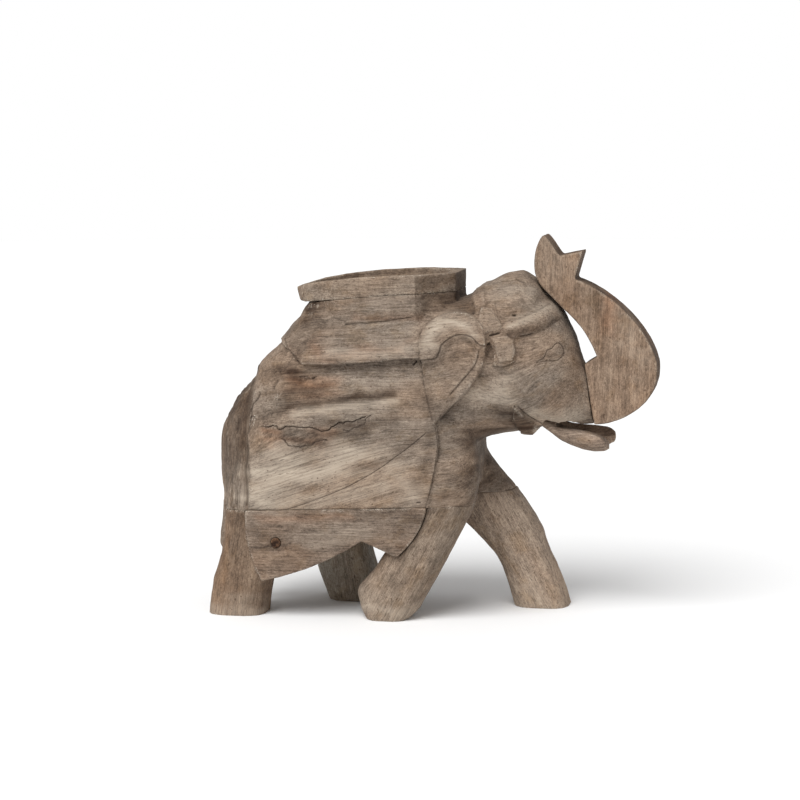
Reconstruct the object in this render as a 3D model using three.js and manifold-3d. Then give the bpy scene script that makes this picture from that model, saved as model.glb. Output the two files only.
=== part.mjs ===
// A carved wooden elephant in its saddle and blanket, glued up from hardwood
// blocks and boards. Millimetres, +X towards the trunk, +Y the elephant's left,
// +Z up. The design frame has x = 0 at the middle of its length and z = 0 under
// its feet; the last lines shift the group so its box is centred on the origin.
import * as THREE from 'three';
import { mergeVertices } from 'three/addons/utils/BufferGeometryUtils.js';
import Module from 'manifold-3d';

const wasm = await Module();
wasm.setup();

// ---------------------------------------------------------------- dimensions
const GAP = 0.3; // glue line between two pieces
const HALF_BODY = 75; // bare torso, middle to side
const BLANKET_PROUD = 4.5; // blanket above the bare torso
const CLOTH_PROUD = 4.5; // saddle cloth above the blanket
const HEM_THICKNESS = 14; // board that carries the blanket's hem
const HEM_FACE = HALF_BODY + BLANKET_PROUD + 0.5; // middle to the hem's face
const LEG_INNER = 17; // middle to a leg's inner face
const LEG_OUTER = 75; // middle to a leg's outer face
const SHOULDER_START = 145; // above this height the legs lean into the body
const SHOULDER_LEAN = 30; // how far they lean in over SHOULDER_HEIGHT
const SHOULDER_HEIGHT = 70;
const SEAM_X = -175; // where the glue line under the body is SEAM_Z high
const SEAM_Z = 106;
const SEAM_RISE = Math.tan(THREE.MathUtils.degToRad(2.6)); // it climbs forwards
const TRUNK_THICKNESS = 36;
const SLOT_EASE = 0.8; // room round the trunk where it passes the forehead
const LIP_HALF = 24;
const LIP_BACK = 108; // x of the face where the lower lip is glued on
const DISH_WALL = 10;
const DISH_REAR = 319; // height of the dish floor at the rim's rear end
const DISH_FRONT = 329.5; // and at its front end
const DOWEL_RADIUS = 5;
const SMALL_DOWEL_RADIUS = 3;
const DOWEL_REACH = 22; // how far a dowel goes into each piece
const DOWEL_SIDES = 12;
const BAND_PROUD = 3.5; // brow band and cheek strap above the head
const EAR_FACE = 76; // middle to the ear's face, at EAR_X and EAR_Z
const EAR_X = 10;
const EAR_Z = 225;
const EAR_TURN = 0.12; // the ear's face nears the head forwards and upwards
const EAR_ROOT = 30; // the ear's solid starts this far from the middle
const EAR_FOLD = 3; // rolled upper rim of the ear above its face
const RING_POINTS = 36;
const FAR = 400; // beyond the object on every side

const seamHeight = (x) => SEAM_Z + (x - SEAM_X) * SEAM_RISE;

// ---------------------------------------------------------------- materials
const paint = (color, roughness) => (
  new THREE.MeshStandardMaterial({ color, roughness, metalness: 0 })
);
const blockWood = () => paint(0x8b7c6e, 0.85);
const boardWood = () => paint(0x84756a, 0.85);
const trunkWood = () => paint(0x947c6b, 0.8);
const legWood = () => paint(0x86756a, 0.85);
const dowelWood = () => paint(0xb08d63, 0.75);
const pegWood = () => paint(0x6a4a30, 0.7);

// ------------------------------------------------------------ solid geometry
function signedVolume(positions, triangles) {
  let total = 0;
  const [a, b, c] = [new THREE.Vector3(), new THREE.Vector3(), new THREE.Vector3()];
  for (let i = 0; i < triangles.length; i += 3) {
    a.fromArray(positions, 3 * triangles[i]);
    b.fromArray(positions, 3 * triangles[i + 1]);
    c.fromArray(positions, 3 * triangles[i + 2]);
    total += a.dot(b.cross(c)) / 6;
  }
  return total;
}

function solidFromGeometry(geometry) {
  geometry.deleteAttribute('normal');
  geometry.deleteAttribute('uv');
  const merged = mergeVertices(geometry, 1e-3);
  const vertProperties = Float32Array.from(merged.attributes.position.array);
  const triVerts = Uint32Array.from(merged.index.array);
  if (signedVolume(vertProperties, triVerts) < 0) triVerts.reverse();
  return new wasm.Manifold(new wasm.Mesh({ numProp: 3, vertProperties, triVerts }));
}

// Closed solid through a stack of rings that have the same number of points.
function loft(rings) {
  const count = rings[0].length;
  const positions = rings.flat().flatMap((p) => [p.x, p.y, p.z]);
  const triangles = [];
  for (let level = 0; level + 1 < rings.length; level += 1) {
    for (let i = 0; i < count; i += 1) {
      const a = level * count + i;
      const b = level * count + ((i + 1) % count);
      triangles.push(a, b, b + count, a, b + count, a + count);
    }
  }
  for (const level of [0, rings.length - 1]) {
    const middle = new THREE.Vector3();
    rings[level].forEach((p) => middle.addScaledVector(p, 1 / count));
    const hub = positions.length / 3;
    positions.push(middle.x, middle.y, middle.z);
    for (let i = 0; i < count; i += 1) {
      const a = level * count + i;
      const b = level * count + ((i + 1) % count);
      triangles.push(...(level === 0 ? [hub, b, a] : [hub, a, b]));
    }
  }
  const geometry = new THREE.BufferGeometry();
  geometry.setAttribute('position', new THREE.Float32BufferAttribute(positions, 3));
  geometry.setIndex(triangles);
  return solidFromGeometry(geometry);
}

const bend = (value, power) => Math.sign(value) * Math.abs(value) ** (2 / power);

// Upright ring at one x: bottom, top and half width, widest at the height waist.
function uprightRing({ x, bottom, top, half, waist, power = 2.4 }) {
  const middle = waist ?? (bottom + top) / 2;
  return Array.from({ length: RING_POINTS }, (_, i) => {
    const turn = (2 * Math.PI * i) / RING_POINTS;
    const reach = turn < Math.PI ? top - middle : middle - bottom;
    const across = half * bend(Math.cos(turn), power);
    return new THREE.Vector3(x, across, middle + reach * bend(Math.sin(turn), power));
  });
}

// Level ring at one z, from rear to front, between two y values.
function levelRing({ z, rear, front, left, right, power = 2.6, frontPower = power, middle }) {
  const x0 = middle ?? (rear + front) / 2;
  const y0 = (left + right) / 2;
  return Array.from({ length: RING_POINTS }, (_, i) => {
    const turn = (2 * Math.PI * i) / RING_POINTS;
    const ahead = Math.cos(turn) > 0;
    const squareness = ahead ? frontPower : power;
    const along = (ahead ? front - x0 : x0 - rear) * bend(Math.cos(turn), squareness);
    const across = ((right - left) / 2) * bend(Math.sin(turn), squareness);
    return new THREE.Vector3(x0 + along, y0 + across, z);
  });
}

const outline = (points) => new THREE.Shape(points.map(([x, y]) => new THREE.Vector2(x, y)));

// Side-view outline (x, z) pushed from y = low to y = high.
function sideGeometry(shape, low, high) {
  const geometry = new THREE.ExtrudeGeometry(shape, { depth: high - low, bevelEnabled: false });
  geometry.rotateX(Math.PI / 2);
  return geometry.translate(0, high, 0);
}

const sideSolid = (shape, low, high) => solidFromGeometry(sideGeometry(shape, low, high));

// Plan-view outline (x, y) pushed from z = low to z = high.
function planSolid(shape, low, high) {
  const geometry = new THREE.ExtrudeGeometry(shape, { depth: high - low, bevelEnabled: false });
  geometry.translate(0, 0, low);
  return solidFromGeometry(geometry);
}

// Round pin from one point to another.
function pin(from, to, radius) {
  const [start, end] = [new THREE.Vector3(...from), new THREE.Vector3(...to)];
  const along = new THREE.Vector3().subVectors(end, start);
  const geometry = new THREE.CylinderGeometry(radius, radius, along.length(), DOWEL_SIDES);
  const upright = new THREE.Vector3(0, 1, 0);
  geometry.applyQuaternion(new THREE.Quaternion().setFromUnitVectors(upright, along.clone().normalize()));
  geometry.translate(...start.add(end).multiplyScalar(0.5).toArray());
  return solidFromGeometry(geometry);
}

// The dowel and the slightly larger hole that both pieces have for it.
function dowel(name, from, to, radius, material = dowelWood()) {
  const [start, end] = [new THREE.Vector3(...from), new THREE.Vector3(...to)];
  const ease = new THREE.Vector3().subVectors(end, start).setLength(GAP);
  const hole = pin(start.clone().sub(ease).toArray(), end.clone().add(ease).toArray(), radius + GAP);
  return { name, solid: pin(from, to, radius), hole, material };
}

const mirrorY = (solid) => solid.mirror([0, 1, 0]);
const both = (solid) => solid.add(mirrorY(solid));

// ------------------------------------------------------------------- torso
// Bare torso at each height: the rump's x on the middle line, the half width.
const TORSO_LEVELS = [
  [88, -211, 73],
  [108, -212, 74],
  [139, -216, 75],
  [156, -216.5, 75],
  [176, -216, 75],
  [194, -210, 74.5],
  [207, -202, 73.5],
  [219, -194, 72],
  [231, -182, 70],
  [242, -176, 67],
  [254, -166, 63],
  [266, -152, 58],
  [281, -138, 50],
  [310, -116, 42],
];

function torso({ grow = 0, chest = 46, squareness = 6 }) {
  return loft(TORSO_LEVELS.map(([z, rear, half]) => levelRing({
    z,
    rear: rear - grow,
    front: z < 200 ? chest : chest - 18,
    left: -half - grow,
    right: half + grow,
    middle: (z - 150) * 0.2 - 140,
    frontPower: squareness,
  })));
}

// Blanket: a layer over back and flanks with a shaped front and a curved rear.
function blanket() {
  const frontEdge = [[3, 100], [8, 129], [13, 152], [16, 176], [14, 192], [5, 222], [-1, 256], [-1, 300]];
  const fromSide = outline([[-230, 100], ...frontEdge, [-230, 300]]);
  const rearEdge = [[-177, 95], [-175, 74], [-168, 58], [-171, 42], [-178, 20], [-182, 0]];
  const fromAbove = outline([
    [30, 95],
    ...rearEdge,
    ...rearEdge.slice(0, -1).reverse().map(([x, y]) => [x, -y]),
    [30, -95],
  ]);
  return torso({ grow: BLANKET_PROUD, chest: 60, squareness: 12 })
    .intersect(sideSolid(fromSide, -FAR, FAR))
    .intersect(planSolid(fromAbove, 0, FAR));
}

// The saddle's plan outline: front middle, front corner, side corners, rear.
// A spread of 0 is the neck under the rim, 1 the flared lower edge of its cloth.
function saddleRing(z, sideSpread, rearSpread) {
  const side = (near, far) => THREE.MathUtils.lerp(near, far, sideSpread);
  const rear = (near, far) => THREE.MathUtils.lerp(near, far, rearSpread);
  const corners = [
    [side(25, 34), 0],
    [side(25, 30), side(33, 66)],
    [side(-11, -3), side(58, 79)],
    [rear(-91, -121), side(58, 78)],
    [rear(-118, -153), side(40, 43)],
    [rear(-128, -161), 0],
  ];
  const right = corners.slice(1, -1).reverse().map(([x, y]) => [x, -y]);
  return subdivide([...corners, ...right], 4).map(([x, y]) => new THREE.Vector3(x, y, z));
}

// Cuts every edge of a closed outline into equal steps.
function subdivide(points, steps) {
  return points.flatMap(([x, y], i) => {
    const [nextX, nextY] = points[(i + 1) % points.length];
    const [stepX, stepY] = [(nextX - x) / steps, (nextY - y) / steps];
    return Array.from({ length: steps }, (_, k) => [x + stepX * k, y + stepY * k]);
  });
}

// Side view of the space that the saddle keeps to, so its cloth ends at the ear.
const CLOTH_SPAN = [[-180, 240], [40, 240], [40, 350], [-180, 350]];

// Saddle neck and cloth, above the cloth's stepped lower edge.
function saddle() {
  const levels = [
    [248, 1, 1], [256, 1, 0.98], [266, 0.78, 0.93], [273, 0.6, 0.85], [281, 0.36, 0.6],
    [287, 0.18, 0.36], [293, 0.02, 0.1], [297, 0, 0], [345, 0, 0],
  ];
  const rearStep = [[-180, 289], [-152, 274.5], [-134, 264.5], [-119, 252]];
  const lowerEdge = [[-84, 253], [-3, 261], [60, 264]];
  const edge = outline([...rearStep, ...lowerEdge, [60, 360], [-180, 360]]);
  return loft(levels.map(([z, sideSpread, rearSpread]) => saddleRing(z, sideSpread, rearSpread)))
    .add(torso({ grow: BLANKET_PROUD + CLOTH_PROUD }))
    .intersect(sideSolid(edge, -FAR, FAR))
    .intersect(sideSolid(outline(CLOTH_SPAN), -FAR, FAR));
}

// Space behind the saddle's neck and over the sloping rear of its cloth.
function behindSaddle() {
  const corners = [[-157, 277], [-128.5, 297], [-128.5, 330], [-210, 330], [-210, 305]];
  return sideSolid(outline(corners), -FAR, FAR);
}

// Tail carved down the middle of the rump.
function tailRelief() {
  const levels = [
    [90, 7.5, -218], [139, 7.5, -220], [156, 8, -221], [176, 8.5, -220], [207, 9, -206], [231, 9, -186],
  ];
  return loft(levels.map(([z, half, rear]) => levelRing(
    { z, rear, front: rear + 40, left: -half, right: half },
  )));
}

// -------------------------------------------------------------------- head
function neck(grow) {
  const stations = [
    [-10, 148, 308, 66, 3.2],
    [30, 163, 316, 65, 3.1],
    [44, 170, 322, 62, 2.9],
    [54, 177, 331, 60, 2.7],
    [70, 181, 340, 57, 2.5],
    [88, 184, 342.5, 54, 2.5],
    [104, 188, 333, 49, 2.5],
    [116, 200, 312, 36, 2.5],
  ];
  return loft(stations.map(([x, bottom, top, half, power]) => uprightRing(
    { x, bottom: bottom - grow, top: top + grow, half: half + grow, waist: 250, power },
  )));
}

function face(grow) {
  const stations = [
    [76, 242, 320, 50],
    [91, 216, 337, 53.5],
    [103, 199, 331, 54],
    [112, 194, 319, 53],
    [121, 190, 307, 50],
    [130.5, 188, 296, 45],
    [138.5, 188, 281, 37],
    [146, 189, 256, 27.5],
    [152, 190.5, 246, 21],
    [164, 192, 240, TRUNK_THICKNESS / 2],
  ];
  return loft(stations.map(([x, bottom, top, half]) => uprightRing(
    { x, bottom: bottom - grow * 0.3, top: top + grow, half: half + grow, waist: 235, power: 2.4 },
  )));
}

// A strip or patch that stands proud of the head, drawn in side view.
function headPatch(points, proud = BAND_PROUD) {
  return neck(proud).add(face(proud)).intersect(sideSolid(outline(points), -FAR, FAR));
}

function browBand() {
  const crease = [[58, 285], [76, 287], [91, 290], [108, 295], [118, 301], [129, 309], [150, 325]];
  const lower = [[58, 281], [95, 282], [109, 286], [122, 295], [150, 309]];
  const upper = [[150, 330], [113, 310], [93, 298], [58, 289]];
  const above = [[150, 334], [113, 312], [93, 300], [58, 291]];
  return headPatch([...lower, ...upper], BAND_PROUD - 1)
    .add(headPatch([...crease, ...above], BAND_PROUD + 0.5));
}

function cheekStrap() {
  const overNeck = [[28, 350], [44, 350], [58, 311], [77, 290], [76, 283], [58, 280], [48, 306]];
  const upper = headPatch(overNeck);
  const overCheek = [[60, 284], [68, 266], [67, 253], [75, 251.5], [87, 257], [87, 282]];
  const lower = headPatch(overCheek, BAND_PROUD + 1);
  return upper.add(lower);
}

// Ear: a broad plate with a pointed lower tip and a rolled upper rim.
function ear() {
  const rim = new THREE.Shape();
  rim.moveTo(10, 197);
  rim.bezierCurveTo(3, 225, -2, 250, -4, 273);
  rim.bezierCurveTo(-4, 297, 17, 306, 32, 306);
  rim.bezierCurveTo(50, 306, 60, 292, 60, 272);
  rim.bezierCurveTo(60, 248, 48, 232, 10, 197);
  const fold = new THREE.Shape();
  fold.moveTo(-8, 259);
  fold.lineTo(10, 259);
  fold.bezierCurveTo(15, 274, 22, 283, 33, 283);
  fold.bezierCurveTo(46, 283, 50, 276, 56, 272);
  fold.lineTo(70, 272);
  fold.lineTo(70, 320);
  fold.lineTo(-8, 320);
  const plate = earSolid(rim, EAR_FACE);
  const rolled = earSolid(rim, EAR_FACE + EAR_FOLD).intersect(sideSolid(fold, -FAR, 0));
  return both(plate.add(rolled));
}

// Side-view outline pushed out to the ear's face, which leans and turns inwards.
function earSolid(shape, faceAt) {
  const geometry = sideGeometry(shape, -faceAt, -EAR_ROOT);
  const lean = new THREE.Matrix4().set(
    1, 0, 0, 0,
    EAR_TURN, 1, EAR_TURN, -EAR_TURN * (EAR_X + EAR_Z),
    0, 0, 1, 0,
    0, 0, 0, 1,
  );
  return solidFromGeometry(geometry.applyMatrix4(lean));
}

// Back corner of the jaw, a wedge between the neck and the lower lip.
function jawWedge() {
  const fromSide = [[82, 222], [88, 192], [92, 184], [102, 184], [112, 194], [112, 222]];
  return sideSolid(outline(fromSide), -32, 32);
}

// Hollow under the face that takes the lower lip.
function mouthHollow() {
  const roof = [[LIP_BACK, 205], [126, 200], [148, 191], [190, 187]];
  return sideSolid(outline([[LIP_BACK, 100], ...roof, [190, 100]]), -27, 27);
}

// -------------------------------------------------------------------- legs
// Each level of a leg: its height, and the x of its rear and front edge.
const LEGS = [
  {
    name: 'right_fore_leg',
    side: -1,
    levels: [
      [0, -60, -17], [9, -65, -8], [25, -69, 0.5], [31, -68, 4], [49, -52, 14], [80, -33, 30],
      [103, -21, 42], [115, -16, 47], [142, -10, 52], [156, -8, 51], [182, -4, 45],
      [215, 4, 30],
    ],
    dowels: [-2, 19],
  },
  {
    name: 'left_fore_leg',
    side: 1,
    levels: [
      [0, 74.5, 131], [18, 69.5, 125.5], [40, 62, 116.5], [53, 54.5, 110], [65, 43, 105.5],
      [77, 31, 102], [91, 15, 94], [109, -2, 82], [121, -8, 72], [133, -10, 62],
      [145, -12, 51], [158, -12, 43], [182, -8, 37], [215, 4, 28],
    ],
    dowels: [24, 42],
  },
  {
    name: 'right_hind_leg',
    side: -1,
    levels: [
      [0, -220.5, -162], [12, -219, -161], [33, -216, -157.5], [49, -211, -147], [62, -207, -139],
      [80, -204, -131], [98, -203, -126], [112, -202, -127], [130, -198, -132], [150, -192, -142],
      [175, -182, -156],
    ],
    dowels: [-186, -148],
  },
  {
    name: 'left_hind_leg',
    side: 1,
    levels: [
      [0, -117, -62], [15, -123, -65], [30, -128.5, -69], [50, -134, -75], [80, -142, -79],
      [110, -148, -84], [130, -151, -86],
    ],
    dowels: [-130, -102],
  },
];

function wholeLeg({ side, levels }) {
  return loft(levels.map(([z, rear, front]) => {
    const lean = SHOULDER_LEAN * (Math.max(0, z - SHOULDER_START) / SHOULDER_HEIGHT) ** 2;
    const [inner, outer] = [side * LEG_INNER, side * (LEG_OUTER - lean)];
    const [left, right] = [Math.min(inner, outer), Math.max(inner, outer)];
    return levelRing({ z, rear, front, left, right, power: 3 });
  }));
}

// ------------------------------------------------------------- glued pieces
const belowSeam = (drop) => sideSolid(
  outline([[-FAR, -FAR], [FAR, -FAR], [FAR, seamHeight(FAR) - drop], [-FAR, seamHeight(-FAR) - drop]]),
  -FAR,
  FAR,
);

// Side view of the rim: it rises forwards and droops at the rear.
const RIM_UPPER = [[-138.5, 324], [-124, 328.5], [-102, 332.5], [-65, 337], [-26, 339.5], [34, 341.5]];
const RIM_UNDER = [[-133.5, 310.5], [-87, 316], [-26, 321.5], [34, 324]];

function aboveRimSeam() {
  const front = 31;
  return sideSolid(outline([...RIM_UNDER, [front, FAR], [-FAR, FAR], [-FAR, 310.5]]), -FAR, FAR);
}

// Lower edge of the hem: two hanging points with an arch between them.
function hemOutline(grow) {
  const shape = new THREE.Shape();
  shape.moveTo(-177 - grow, seamHeight(-177) - GAP + grow);
  shape.lineTo(-177 - grow, 92);
  shape.quadraticCurveTo(-174 - grow, 62, -161 - grow, 37 - grow);
  shape.quadraticCurveTo(-106, 49 - grow, -60, 80 - grow);
  shape.lineTo(-25 + grow, 65 - grow);
  shape.quadraticCurveTo(0 + grow, 88, 4 + grow, seamHeight(4) - GAP + grow);
  return shape;
}

const hemBoard = (grow) => sideSolid(hemOutline(grow), -HEM_FACE - grow, -HEM_FACE + HEM_THICKNESS + grow);

// Trunk board in side view, from the seam round the outer curve to the tip.
const TRUNK_SEAM = [[150, 252], [160, 192.5]];

function trunkOutline(grow) {
  const shape = new THREE.Shape();
  const [top, foot] = TRUNK_SEAM;
  shape.moveTo(foot[0] + GAP - grow, foot[1] - grow);
  shape.bezierCurveTo(176, 192 - grow, 222 + grow, 206, 222 + grow, 247);
  shape.bezierCurveTo(222 + grow, 273, 190 + grow, 316 + grow, 145, 334 + grow);
  shape.lineTo(140 + grow, 335);
  shape.lineTo(148 + grow, 363 + grow);
  shape.lineTo(125, 358 + grow);
  shape.quadraticCurveTo(117, 370 + grow, 112, 376 + grow);
  shape.quadraticCurveTo(109, 379 + grow, 107, 376 + grow);
  shape.bezierCurveTo(102 - grow, 369, 100 - grow, 360, 100 - grow, 350);
  shape.quadraticCurveTo(100 - grow, 336, 108 - grow, 327);
  shape.lineTo(130 - grow, 305 - grow);
  shape.bezierCurveTo(148 - grow, 290 - grow, 158, 272, 162.5, 259.5);
  shape.lineTo(top[0] + GAP, top[1]);
  return shape;
}

function trunk() {
  const half = TRUNK_THICKNESS / 2;
  return sideSolid(trunkOutline(0), -half, half);
}

// Everything in front of the slanted trunk seam.
function beyondTrunkSeam() {
  const [[topX, topZ], [footX, footZ]] = TRUNK_SEAM;
  const slope = (footX - topX) / (footZ - topZ);
  const at = (z) => topX + (z - topZ) * slope;
  return sideSolid(outline([[at(150), 150], [at(262), 262], [FAR, 262], [FAR, 150]]), -FAR, FAR);
}

// Lower lip: a hollowed spoon with a split tip, its left lobe longer than the right.
function lowerLip() {
  const stations = [
    [LIP_BACK + GAP, 188, 202, 0.8],
    [117, 182, 198, 0.9],
    [127, 174.5, 193.5, 1],
    [137, 170, 191, 1],
    [148, 166, 190, 1],
    [160, 164, 189.5, 1],
    [170, 164.5, 188.5, 0.95],
    [175, 167.5, 187, 0.85],
    [179, 174, 184.5, 0.6],
  ];
  const spoon = loft(stations.map(([x, bottom, top, share]) => uprightRing(
    { x, bottom, top, half: LIP_HALF * share, waist: top - 8, power: 2.2 },
  )));
  const hollow = loft([[124, 1], [134, 7], [148, 11], [164, 12], [190, 12]].map(([x, half]) => uprightRing(
    { x, bottom: 190 - half, top: 212, half, waist: 196, power: 2.2 },
  )));
  const wallTop = [[123, 190], [140, 187.5], [154, 185.5], [167, 181], [173, 175], [190, 175]];
  const lowWall = sideSolid(outline([...wallTop, [190, 215], [123, 215]]), -40, 0);
  const split = planSolid(outline([[158, 2], [190, 8], [190, -6]]), 150, 220);
  const shortLobe = planSolid(outline([[168, -30], [175, -14], [174, 2], [190, 4], [190, -30]]), 150, 220);
  const lobeFoot = sideSolid(outline([[171, 150], [171, 169], [176, 172], [190, 176], [190, 150]]), 0, 40);
  return [hollow, lowWall, split, shortLobe, lobeFoot].reduce((rest, cut) => rest.subtract(cut), spoon);
}

// Tuft at the end of the tail.
function tailTip() {
  const levels = [
    [54, 5, -220, -205], [60, 10, -222.5, -202], [72, 11, -222, -200],
    [88, 8.5, -219.5, -199], [130, 7.5, -218, -196],
  ];
  return loft(levels.map(([z, half, rear, front]) => levelRing(
    { z, rear, front, left: -half, right: half },
  ))).intersect(belowSeam(GAP));
}

// Saddle rim: a many-sided slab with a shallow dish in its top.
function rimPlan(inset) {
  const corners = [[25, 33], [-11, 58], [-91, 58], [-122, 42], [-139, 16]];
  const [middle, halfLength, halfWidth] = [-54, 82, 58];
  const [xScale, yScale] = [1 - inset / halfLength, 1 - inset / halfWidth];
  const side = corners.map(([x, y]) => [middle + (x - middle) * xScale, y * yScale]);
  return outline([...side, ...side.map(([x, y]) => [x, -y]).reverse()]);
}

// The dish's walls stand square to its sloped floor, so its upright plan is leant back to match.
function saddleRim() {
  const fromSide = outline([...RIM_UNDER.map(([x, z]) => [x, z + GAP]), ...RIM_UPPER.toReversed()]);
  const [rear, front] = [-140, 34];
  const dish = outline([[rear, DISH_REAR], [front, DISH_FRONT], [front, FAR], [rear, FAR]]);
  const lean = (DISH_FRONT - DISH_REAR) / (front - rear);
  const middle = (DISH_FRONT + DISH_REAR) / 2;
  const walls = planSolid(rimPlan(DISH_WALL), 0, FAR).transform([
    1, 0, 0, 0,
    0, 1, 0, 0,
    -lean, 0, 1, 0,
    lean * middle, 0, 0, 1,
  ]);
  return planSolid(rimPlan(0), 0, FAR)
    .intersect(sideSolid(fromSide, -FAR, FAR))
    .subtract(walls.intersect(sideSolid(dish, -FAR, FAR)));
}

// ------------------------------------------------------------------- dowels
const SEAM_DOWELS = LEGS.flatMap(({ name, side, dowels }) => dowels.map((x, i) => {
  const y = side * (LEG_INNER + 23);
  const [low, high] = [seamHeight(x) - DOWEL_REACH, seamHeight(x) + DOWEL_REACH];
  return dowel(`${name}_dowel_${i + 1}`, [x, y, low], [x, y, high], DOWEL_RADIUS);
}));

const HEM_DOWEL_REACH = 16;
const HEM_DOWELS = ['right', 'left'].flatMap((side) => [-118, -44].map((x, i) => {
  const y = (side === 'right' ? -1 : 1) * (HEM_FACE - HEM_THICKNESS / 2);
  const [low, high] = [seamHeight(x) - HEM_DOWEL_REACH, seamHeight(x) + HEM_DOWEL_REACH];
  return dowel(`${side}_hem_dowel_${i + 1}`, [x, y, low], [x, y, high], SMALL_DOWEL_RADIUS);
}));

// Pegs seen in the face of the hem boards, driven into the hind legs.
const PEG_DEPTH = 36;
const PEG_Z = 76;
const HEM_PEGS = [['right', -1, -146], ['left', 1, -120]].map(([side, way, x]) => {
  const outer = way * (HEM_FACE + 0.4);
  const inner = outer - way * PEG_DEPTH;
  return dowel(`${side}_hem_peg`, [x, outer, PEG_Z], [x, inner, PEG_Z], DOWEL_RADIUS, pegWood());
});

const TRUNK_DOWELS = [236, 209].map((z, i) => {
  const [[topX, topZ], [footX, footZ]] = TRUNK_SEAM;
  const x = topX + ((z - topZ) * (footX - topX)) / (footZ - topZ);
  const [rear, front] = [x - DOWEL_REACH, x + DOWEL_REACH];
  return dowel(`trunk_dowel_${i + 1}`, [rear, 0, z], [front, 0, z], DOWEL_RADIUS - 1);
});

const LIP_DOWEL = dowel(
  'lower_lip_dowel',
  [LIP_BACK - 16, 0, 194],
  [LIP_BACK + 14, 0, 190],
  SMALL_DOWEL_RADIUS,
);

const TAIL_DOWEL = dowel('tail_dowel', [-208, 0, 84], [-208, 0, 124], SMALL_DOWEL_RADIUS);

const RIM_DOWELS = [[-87, 316], [-26, 321.5]].map(([x, level], i) => (
  dowel(`saddle_rim_dowel_${i + 1}`, [x, 0, level - DOWEL_REACH], [x, 0, level + 3], SMALL_DOWEL_RADIUS)
));

// ----------------------------------------------------------------- assembly
// Underside hollows: a channel between left and right legs, and a low belly.
function underside() {
  const stations = [[-194, 112, 10], [-170, 124, 15], [-20, 130, 16], [40, 130, 16], [110, 127, 16]];
  const channel = loft(stations.map(
    ([x, top, half]) => uprightRing({ x, bottom: 60, top, half, waist: 100, power: 2.6 }),
  ));
  const belly = new THREE.Shape();
  belly.moveTo(-82, 90);
  belly.quadraticCurveTo(-70, 128, -52, 128);
  belly.quadraticCurveTo(-34, 128, -24, 90);
  return channel.add(sideSolid(belly, -62, 62));
}

function bodyBlock() {
  const legTops = LEGS.map(wholeLeg).reduce((sum, leg) => sum.add(leg));
  const layers = [neck(0), face(0), blanket(), saddle(), tailRelief(), browBand(), cheekStrap()];
  const block = [...layers, ear(), jawWedge()].reduce((sum, solid) => sum.add(solid), torso({}));
  const slotHalf = TRUNK_THICKNESS / 2 + SLOT_EASE;
  const cuts = [
    belowSeam(0),
    beyondTrunkSeam(),
    sideSolid(trunkOutline(SLOT_EASE), -slotHalf, slotHalf),
    mouthHollow(),
    behindSaddle(),
    aboveRimSeam(),
  ];
  const whole = block.subtract(underside()).add(legTops);
  return cuts.reduce((rest, cut) => rest.subtract(cut), whole);
}

function drilled(solid, pins) {
  return pins.reduce((rest, { hole }) => rest.subtract(hole), solid);
}

const hems = both(hemBoard(GAP));
const faceDowels = [...TRUNK_DOWELS, LIP_DOWEL];
const allPins = [...SEAM_DOWELS, ...HEM_DOWELS, ...HEM_PEGS, ...faceDowels, TAIL_DOWEL, ...RIM_DOWELS];

const PIECES = [
  { name: 'body', solid: drilled(bodyBlock(), allPins), material: blockWood() },
  { name: 'saddle_rim', solid: drilled(saddleRim(), RIM_DOWELS), material: boardWood() },
  { name: 'trunk', solid: drilled(trunk(), TRUNK_DOWELS), material: trunkWood() },
  { name: 'lower_lip', solid: drilled(lowerLip(), [LIP_DOWEL]), material: blockWood() },
  { name: 'tail_tip', solid: drilled(tailTip(), [TAIL_DOWEL]), material: legWood() },
  { name: 'right_hem_board', solid: drilled(hemBoard(0), allPins), material: boardWood() },
  { name: 'left_hem_board', solid: drilled(mirrorY(hemBoard(0)), allPins), material: boardWood() },
  ...LEGS.map((leg) => ({
    name: leg.name,
    solid: drilled(wholeLeg(leg).intersect(belowSeam(GAP)).subtract(hems), allPins),
    material: legWood(),
  })),
  ...allPins,
];

function meshOf({ name, solid, material }) {
  const { vertProperties, triVerts } = solid.getMesh();
  const geometry = new THREE.BufferGeometry();
  geometry.setAttribute('position', new THREE.BufferAttribute(vertProperties, 3));
  geometry.setIndex(new THREE.BufferAttribute(triVerts, 1));
  geometry.computeVertexNormals();
  const mesh = new THREE.Mesh(geometry, material);
  mesh.name = name;
  return mesh;
}

const elephant = new THREE.Group();
elephant.add(...PIECES.map(meshOf));
const box = new THREE.Box3().setFromObject(elephant);
const centre = box.getCenter(new THREE.Vector3());
elephant.position.set(-centre.x, -centre.y, -box.min.z);

export default elephant;
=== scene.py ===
"""Looks of the carved wooden elephant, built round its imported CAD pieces.

Each wooden piece is a fine, even copy of its CAD node that is carved further
here: cracks, knots, grooves and chips are in the mesh, and the grain is in the
material. Carving is worked out in millimetres, in the part's own frame: X is
forwards, Y is to the elephant's left and Z is up. A side-view point is (x, z).
"""

import math

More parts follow.
